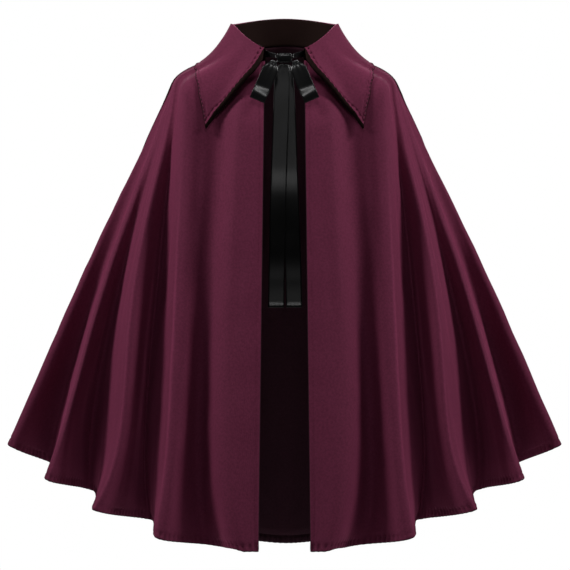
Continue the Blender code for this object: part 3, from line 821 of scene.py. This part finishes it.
def add_lining(dark):
    """Dark inside of the back panel, hung just within it."""
    count = (LEFT_SEAM - RIGHT_SEAM) * LINING_COLUMNS_PER_FOLD
    fold = np.linspace(RIGHT_SEAM, LEFT_SEAM, count + 1)[None, LINING_EDGE_COLUMNS:-LINING_EDGE_COLUMNS]
    share = np.linspace(LINING_TOP_SHARE, LINING_HEM_SHARE, LINING_ROWS)[:, None]
    relief = crease_relief(BACK_CREASES, fold, share)
    base = cloth_points(fold, share)
    cut = sector_cut(base)
    outer = base + cloth_normals(fold, share) * (relief - LINING_DEPTH)[..., None]
    inner = outer - grid_normals(outer) * LINING_WALL
    lining = add_shell("cloth_lining", outer, inner, cut.places, [dark])
    place(lining, "dark_lining", "lining_back")


# Collar

def mirrored_leaf(row):
    return LeafRow(LAST_FOLD - row.roll_fold, LAST_FOLD - row.edge_fold, row.edge_share)


LEAF_PLACES = list(LEAF_ROWS) + [mirrored_leaf(row) for row in reversed(LEAF_ROWS[:-1])]
LAST_PLACE = len(LEAF_PLACES) - 1
ROLL_FOLDS = [row.roll_fold for row in LEAF_PLACES]
EDGE_FOLDS = [row.edge_fold for row in LEAF_PLACES]
EDGE_SHARES = [row.edge_share for row in LEAF_PLACES]


def roll_points(fold):
    return ring_points(COLLAR_ROLL, neck_angle(fold))


def stand_points(place_number, share):
    """Outer face of the stand, from just above the neck seam to the roll line."""
    fold = spline(ROLL_FOLDS, place_number)
    seam = ring_points(NECK_SEAM, neck_angle(fold))
    bottom = seam - unit(seam * LEVEL) * STAND_INSET + UP * SEAM_GAP
    return bottom + (roll_points(fold) - bottom) * np.asarray(share)[..., None]


def leaf_points(place_number, share):
    """Under face of the collar leaf, from the roll line out to its edge on the panels."""
    roll_fold = spline(ROLL_FOLDS, place_number)
    from_front = np.minimum(place_number, LAST_PLACE - place_number)
    at_front = np.maximum(0.0, 1 - from_front / LEAF_LIFT_ROWS) ** 2
    side = np.where(place_number <= LAST_PLACE / 2, 1.0, -1.0)
    fold = roll_fold + (spline(EDGE_FOLDS, place_number) - roll_fold) * share
    fold = fold + side * LEAF_EDGE_BOW * at_front * np.sqrt(share) * (1 - share)
    length_share = spline(EDGE_SHARES, place_number) * share
    seam = ring_points(NECK_SEAM, neck_angle(roll_fold))
    roll = roll_points(roll_fold)
    rise = roll + unit(roll * LEVEL) * ROLL_CLEARANCE - seam
    clearance = (LEAF_CLEARANCE + LEAF_FRONT_LIFT * at_front) * np.minimum(1.0, share * LEAF_LANDING_RATE)
    on_panel = cloth_points(fold, length_share)
    on_panel = on_panel + cloth_normals(fold, length_share) * clearance[..., None]
    return on_panel + rise * ((1 - share) ** LEAF_DROOP_POWER)[..., None]


def collar_columns():
    return np.linspace(0.0, LAST_PLACE, LAST_PLACE * LEAF_COLUMNS_PER_ROW + 1)[None, :]


def rolled_rows(under, over):
    """Extra rows that carry the leaf over the roll line to the inside of the neck."""
    away = unit(under[0] * LEVEL)
    up = unit(over[0] - under[0])
    wall = np.linalg.norm(over[0] - under[0], axis=-1, keepdims=True)
    outer_rows = []
    inner_rows = []
    for turn in ROLL_TURNS:
        direction = up * math.cos(turn) - away * math.sin(turn)
        outer_rows.append(under[0] + direction * wall)
        inner_rows.append(under[0] + direction * wall * ROLL_CORE)
    outer = np.concatenate((np.array(outer_rows), over))
    return outer, np.concatenate((np.array(inner_rows), under))


def under_with_painted_shadow(under, normals, share):
    """Under face of the leaf, with its front edges carried down and out past the leaf's own edge as a
    painted shadow line.
    """
    under = under.copy()
    amount = smooth_step(share[:, :1] / LEAF_PAINTED_SHADOW_START)
    for edge, beside in ((0, 1), (-1, -2)):
        out = unit(under[:, edge] - under[:, beside]) * LEAF_PAINTED_SHADOW_REACH
        under[:, edge] += (out - normals[:, edge] * LEAF_PAINTED_SHADOW_DROP) * amount
    return under


def leaf_relief(under):
    """Relief of the leaf's stitched and puckered edges, and the painted shadow in their pinches."""
    relief = np.zeros(under.shape[:2])
    painted_light = np.zeros(under.shape[:2])
    round_neck = from_edge(under, "first")
    down_front = from_edge(under, "top")
    edges = (
        ("bottom", round_neck, SEAM_PUCKER, 0.0),
        ("first", down_front, COLLAR_PUCKER, LEAF_EDGE_ROLL),
        ("last", down_front, COLLAR_PUCKER, LEAF_EDGE_ROLL),
    )
    for edge, along, depth, roll in edges:
        inside = from_edge(under, edge)
        groove, pinches = sewn_edge(along, inside, COLLAR_STITCH_LINE, depth)
        relief = relief + groove + pinches + roll * np.exp(-(inside / LEAF_ROLL_REACH) ** 2)
        # Painted shadow in the edges' pinches
        painted_light = painted_light + pinches * COLLAR_PINCH_PAINTED_SHADOW
    return relief, painted_light


def add_collar_leaf(cloth, dark, under_dark_painted_shadow):
    """Pointed leaf, rolled over the stand, with its stitches, and its near-black under face past its front
    edges as a painted shadow.
    """
    share = np.linspace(0.0, 1.0, LEAF_STEPS + 1)[:, None]
    place_number, share = np.broadcast_arrays(collar_columns(), share)
    under = leaf_points(place_number, share)
    normals = grid_normals(under)
    relief, painted_light = leaf_relief(under)
    over = under + normals * (LEAF_WALL + relief)[..., None]
    # The under face's edges carried past the front edges are a painted shadow
    outer, inner = rolled_rows(under_with_painted_shadow(under, normals, share), over)
    cut = strip_cut(outer)
    painted_light = np.concatenate((np.zeros((len(ROLL_TURNS), painted_light.shape[1])), painted_light))
    leaf = add_shell("collar_leaf", outer, inner, cut.places, [cloth, under_dark_painted_shadow], painted_light)
    over_normals = grid_normals(over)
    paths = [inset_line(over, over_normals, edge, COLLAR_STITCH_LINE) for edge in ("first", "last")]
    stitches = add_stitches("stitches_collar", paths, EDGE_STITCH, cloth)
    seam = [inset_line(over, over_normals, "bottom", COLLAR_SEAM_LINE)]
    seam_stitches = add_stitches("stitches_collar_seam", seam, SEAM_STITCH, dark)
    place(leaf, "burgundy_cloth", "collar_fall")
    place(stitches, "burgundy_cloth")
    place(seam_stitches, "dark_lining")


def add_collar_stand(dark):
    share = np.linspace(0.0, STAND_TOP, STAND_STEPS + 1)[:, None]
    place_number, share = np.broadcast_arrays(collar_columns()[:, ::2], share)
    outside = stand_points(place_number, share)
    inside = outside + grid_normals(outside) * STAND_WALL
    cut = strip_cut(outside)
    # The stand's near-black colour is its dark cloth with the shade inside the neck painted in
    stand = add_shell("collar_band", inside, outside, cut.places, [dark])
    place(stand, "dark_lining", "collar_stand")


# Ribbon bow

def ribbon_normals(centres, across):
    return unit(np.cross(np.gradient(centres, axis=0), across))


def add_ribbon(name, centres, half_widths, relief, satin, node):
    """Strip of ribbon along its centre line, with relief raised on its outer face."""
    across = np.linspace(-1.0, 1.0, RIBBON_COLUMNS)
    normals = ribbon_normals(centres, half_widths)
    middle = centres[:, None] + half_widths[:, None] * across[None, :, None]
    middle = middle + normals[:, None] * relief[..., None]
    lift = grid_normals(middle) * RIBBON_WALL / 2
    if (lift[len(lift) // 2, RIBBON_COLUMNS // 2] * normals[len(lift) // 2]).sum() < 0:
        lift = -lift
        middle = middle[:, ::-1]
        lift = lift[:, ::-1]
    cut = strip_cut(middle)
    ribbon = add_shell(name, middle + lift, middle - lift, cut.places, [satin])
    place(ribbon, "black_satin", node)


def pleat_relief(gather):
    """Lengthwise pleats, deepest where the ribbon is gathered."""
    across = np.linspace(-1.0, 1.0, RIBBON_COLUMNS)[None, :]
    return PLEAT_DEPTH * gather[:, None] * np.cos(across * math.pi * PLEATS)


def add_tie(name, side, satin):
    """Ribbon from the stand's front end to the knot's side."""
    front_end = np.array(0.0 if side > 0 else float(LAST_PLACE))
    low = stand_points(front_end, TIE_LOW_SHARE)
    high = stand_points(front_end, TIE_HIGH_SHARE)
    start = (low + high) / 2 + np.array((-side * TIE_GAP, 0.0, 0.0))
    end = KNOT_CENTRE + np.array((side * (KNOT_HALF[0] + SEAM_GAP), 0.0, TIE_RISE_AT_KNOT))
    share = np.linspace(0.0, 1.0, TIE_STATIONS)[:, None]
    centres = start + (end - start) * share
    start_across = unit(high - low) * TIE_WIDTH_AT_STAND / 2
    end_across = UP * TIE_WIDTH_AT_KNOT / 2
    half_widths = start_across + (end_across - start_across) * share
    relief = pleat_relief(share[:, 0] * TIE_GATHER)
    add_ribbon("ribbon_" + name, centres, half_widths, relief, satin, name)


def add_loop(name, side, satin):
    """Ribbon that leaves the knot, turns at the loop's lower end and comes back behind."""
    along = np.array((side * math.sin(LOOP_LEAN), 0.0, -math.cos(LOOP_LEAN)))
    across = np.array((math.cos(LOOP_LEAN), 0.0, side * math.sin(LOOP_LEAN)))
    root_reach = KNOT_HALF[0] + LOOP_ROOT_WIDTH / 2 * math.cos(LOOP_LEAN) - LOOP_ROOT_TUCK
    root = KNOT_CENTRE + np.array((side * root_reach, 0.0, -LOOP_ROOT_DROP))
    turn = np.linspace(-math.pi, math.pi, LOOP_STATIONS + 1)
    reach = (1 + np.cos(turn)) / 2
    openness = LOOP_ROOT_OPENNESS + (1 - LOOP_ROOT_OPENNESS) * reach
    kick = LOOP_KICK * smooth_step((reach - LOOP_KICK_START) / LOOP_KICK_SPAN)
    forward = LOOP_HALF_DEPTH * np.sin(turn) * openness - kick
    forward = forward - LOOP_FORWARD * np.sqrt(1 - (1 - reach) ** LOOP_DROP_POWER)
    spread = smooth_step(reach * LOOP_SPREAD_RATE)
    width = LOOP_ROOT_WIDTH + (RIBBON_WIDTH - LOOP_ROOT_WIDTH) * spread
    centres = root + along * (LOOP_LENGTH * reach)[:, None]
    centres[:, 1] += forward
    half_widths = across * (width / 2)[:, None]
    half_widths[:, 1] += side * LOOP_TWIST * reach ** LOOP_TWIST_POWER * width / 2
    relief = pleat_relief((1 - reach) ** LOOP_PLEAT_POWER)
    add_ribbon("ribbon_" + name, centres, half_widths, relief, satin, name)


def add_tail(name, side, satin):
    """Free ribbon end that hangs from under the knot, its end turned up and sewn."""
    in_front = TAIL_FRONT_STEP if side < 0 else 0.0
    middles = [(row.left if side < 0 else row.right, row.y - in_front, row.z) for row in TAIL_ROWS]
    position = np.linspace(0, len(TAIL_ROWS) - 1, (len(TAIL_ROWS) - 1) * TAIL_STEPS_PER_ROW + 1)
    centres = spline(middles, position)
    widths = spline([row.width for row in TAIL_ROWS], position)
    half_widths = SIDEWAYS * (widths / 2)[:, None]
    arcs = np.insert(np.cumsum(np.linalg.norm(np.diff(centres, axis=0), axis=-1)), 0, 0.0)
    left = arcs[-1] - arcs
    gather = np.exp(-(arcs / TAIL_GATHER) ** 2)
    hem = TAIL_HEM_STEP * smooth_step((TAIL_HEM - left) / TAIL_HEM_RISE)
    relief = pleat_relief(gather) + hem[:, None]
    add_ribbon("ribbon_" + name, centres, half_widths, relief, satin, name)


def add_knot(satin):
    """Ribbon wrapped round the bow's middle: a squared ball with the wrap's creases."""
    turns = np.linspace(0.0, 2 * math.pi, KNOT_COLUMNS + 1)[:-1]
    heights = np.linspace(-1.0, 1.0, KNOT_ROWS + 1) * math.pi / 2
    turn, height = np.meshgrid(turns, heights[1:-1])
    girth = np.cos(height)
    ball = np.stack((np.sin(height), -girth * np.cos(turn), girth * np.sin(turn)), axis=-1)
    ball = np.sign(ball) * np.abs(ball) ** KNOT_SQUARENESS
    creases = sum(
        crease.depth * np.sin(turn * crease.round + height * crease.along + crease.phase)
        for crease in KNOT_CREASES
    )
    size = 1 - KNOT_CREASE_ROOM + creases * np.sqrt(girth)
    points = KNOT_CENTRE + ball * KNOT_HALF * size[..., None]
    rows, columns = turn.shape
    ends = KNOT_CENTRE + np.array(((-KNOT_HALF[0], 0.0, 0.0), (KNOT_HALF[0], 0.0, 0.0)))
    numbers = np.arange(rows * columns).reshape(rows, columns)
    around = np.roll(numbers, -1, axis=1)
    sides = np.stack((numbers[:-1], numbers[1:], around[1:], around[:-1]), axis=-1)
    first, last = rows * columns, rows * columns + 1
    caps = [[first, a, b] for a, b in zip(numbers[0], around[0])]
    caps += [[last, b, a] for a, b in zip(numbers[-1], around[-1])]
    faces = sides.reshape(-1, 4).tolist() + [[int(n) for n in cap] for cap in caps]
    knot = add_object("ribbon_knot", np.concatenate((points.reshape(-1, 3), ends)), faces, [satin])
    place(knot, "black_satin", "knot")


def add_bow(satin):
    add_knot(satin)
    for name, side in (("left", -1), ("right", 1)):
        add_tie("tie_" + name, side, satin)
        add_loop("loop_" + name, side, satin)
        add_tail("tail_" + name, side, satin)


# Materials

def new_material(name):
    material = bpy.data.materials.new(name)
    material.use_nodes = True
    nodes = material.node_tree.nodes
    return material, nodes, material.node_tree.links, nodes["Principled BSDF"]


def set_inputs(node, values):
    for name, value in values.items():
        node.inputs[name].default_value = value


def mottled_colour_with_painted_light(nodes, links, colour):
    """The colour, slightly uneven, made lighter or darker by the mesh's painted highlight and painted
    shadow.
    """
    mottle = nodes.new("ShaderNodeTexNoise")
    set_inputs(mottle, {"Scale": MOTTLE_SCALE, "Detail": MOTTLE_DETAIL})
    space = nodes.new("ShaderNodeTexCoord")
    links.new(space.outputs["Object"], mottle.inputs["Vector"])
    ramp = nodes.new("ShaderNodeValToRGB")
    for element, end in zip(ramp.color_ramp.elements, MOTTLE_ENDS):
        element.position = end.position
        element.color = (*[part * end.strength for part in colour], 1.0)
    links.new(mottle.outputs["Fac"], ramp.inputs["Fac"])
    # Painted highlight and painted shadow from the mesh, multiplied into the colour
    painted_light = nodes.new("ShaderNodeAttribute")
    painted_light.attribute_name = "painted_light"
    strength = nodes.new("ShaderNodeMath")
    strength.operation = "ADD"
    strength.inputs[1].default_value = 1.0
    links.new(painted_light.outputs["Fac"], strength.inputs[0])
    shaded = nodes.new("ShaderNodeVectorMath")
    shaded.operation = "SCALE"
    links.new(ramp.outputs["Color"], shaded.inputs[0])
    links.new(strength.outputs["Value"], shaded.inputs["Scale"])
    return shaded.outputs["Vector"]


def add_weave(nodes, links, shader, weave):
    """Threads over the flat cut, raised a little on the surface."""
    cut = nodes.new("ShaderNodeUVMap")
    threads = nodes.new("ShaderNodeTexWave")
    threads.bands_direction = weave.direction
    set_inputs(threads, {"Scale": weave.scale, "Distortion": weave.distortion, "Detail": WEAVE_DETAIL})
    links.new(cut.outputs["UV"], threads.inputs["Vector"])
    bump = nodes.new("ShaderNodeBump")
    set_inputs(bump, {"Strength": weave.bump, "Distance": weave.height})
    links.new(threads.outputs["Fac"], bump.inputs["Height"])
    links.new(bump.outputs["Normal"], shader.inputs["Normal"])
    return threads


def cloth_material(name, look):
    material, nodes, links, shader = new_material(name)
    tint = (*[part / max(look.colour) for part in look.colour], 1.0)
    set_inputs(shader, {"Roughness": look.roughness, "Sheen Roughness": SHEEN_ROUGHNESS})
    set_inputs(shader, {"Sheen Weight": look.sheen, "Sheen Tint": tint})
    set_inputs(shader, {"Specular IOR Level": CLOTH_SPECULAR, "Specular Tint": tint})
    links.new(mottled_colour_with_painted_light(nodes, links, look.colour), shader.inputs["Base Color"])
    add_weave(nodes, links, shader, TWILL)
    return material


def satin_material(name):
    material, nodes, links, shader = new_material(name)
    set_inputs(shader, {"Base Color": (*SATIN_COLOUR, 1.0)})
    set_inputs(shader, {"Specular IOR Level": SATIN_SPECULAR, "Sheen Weight": SATIN_SHEEN})
    threads = add_weave(nodes, links, shader, SATIN_THREADS)
    gloss = nodes.new("ShaderNodeMapRange")
    set_inputs(gloss, {"To Min": SATIN_SMOOTHEST, "To Max": SATIN_ROUGHEST})
    links.new(threads.outputs["Fac"], gloss.inputs["Value"])
    links.new(gloss.outputs["Result"], shader.inputs["Roughness"])
    return material


def make_materials():
    return {
        "cloth": cloth_material("burgundy_cloth", BURGUNDY),
        "lining": cloth_material("dark_lining", DARK_LINING),
        "band": cloth_material("dark_band_and_painted_shade", DARK_BAND_AND_PAINTED_SHADE),
        "satin": satin_material("black_satin"),
    }


# Studio

def add_camera():
    data = bpy.data.cameras.new("camera")
    data.sensor_width = CAMERA_SENSOR
    data.lens = CAMERA_LENS
    camera = bpy.data.objects.new("camera", data)
    camera.location = CAMERA_PLACE
    camera.rotation_euler = (math.pi / 2, 0.0, 0.0)
    bpy.context.scene.collection.objects.link(camera)
    bpy.context.scene.camera = camera


def add_softbox(box):
    data = bpy.data.lights.new("softbox_" + box.name, "AREA")
    data.shape = "RECTANGLE"
    data.size = box.width
    data.size_y = box.height
    data.energy = box.power
    light = bpy.data.objects.new("softbox_" + box.name, data)
    light.location = box.place
    aim = Vector(box.aim) - Vector(box.place)
    light.rotation_euler = aim.to_track_quat("-Z", "Y").to_euler()
    light.visible_camera = False
    bpy.context.scene.collection.objects.link(light)


def add_world():
    """White backdrop for the camera, with only a little of it as light."""
    world = bpy.data.worlds.new("studio")
    world.use_nodes = True
    nodes = world.node_tree.nodes
    links = world.node_tree.links
    seen = nodes.new("ShaderNodeBackground")
    set_inputs(seen, {"Color": WHITE})
    light = nodes["Background"]
    set_inputs(light, {"Color": WHITE, "Strength": WORLD_LIGHT})
    path = nodes.new("ShaderNodeLightPath")
    mix = nodes.new("ShaderNodeMixShader")
    links.new(path.outputs["Is Camera Ray"], mix.inputs["Fac"])
    links.new(light.outputs["Background"], mix.inputs[1])
    links.new(seen.outputs["Background"], mix.inputs[2])
    links.new(mix.outputs["Shader"], nodes["World Output"].inputs["Surface"])
    bpy.context.scene.world = world


def add_floor():
    corners = [(-1, -1), (1, -1), (1, 1), (-1, 1)]
    points = [(x * FLOOR_HALF, y * FLOOR_HALF, FLOOR_HEIGHT) for x, y in corners]
    material, _, _, shader = new_material("pale_floor")
    set_inputs(shader, {"Base Color": (*FLOOR_COLOUR, 1.0), "Roughness": FLOOR_ROUGHNESS})
    floor = add_object("floor", np.array(points), [[0, 1, 2, 3]], [material])


def add_studio():
    add_camera()
    for box in SOFTBOXES:
        add_softbox(box)
    add_world()
    add_floor()
    bpy.context.scene.view_settings.view_transform = "Standard"


add_studio()
MATERIALS = make_materials()
add_panels(MATERIALS["cloth"], MATERIALS["lining"])
add_lining(MATERIALS["lining"])
add_collar_leaf(MATERIALS["cloth"], MATERIALS["lining"], MATERIALS["band"])
add_collar_stand(MATERIALS["band"])
add_bow(MATERIALS["satin"])
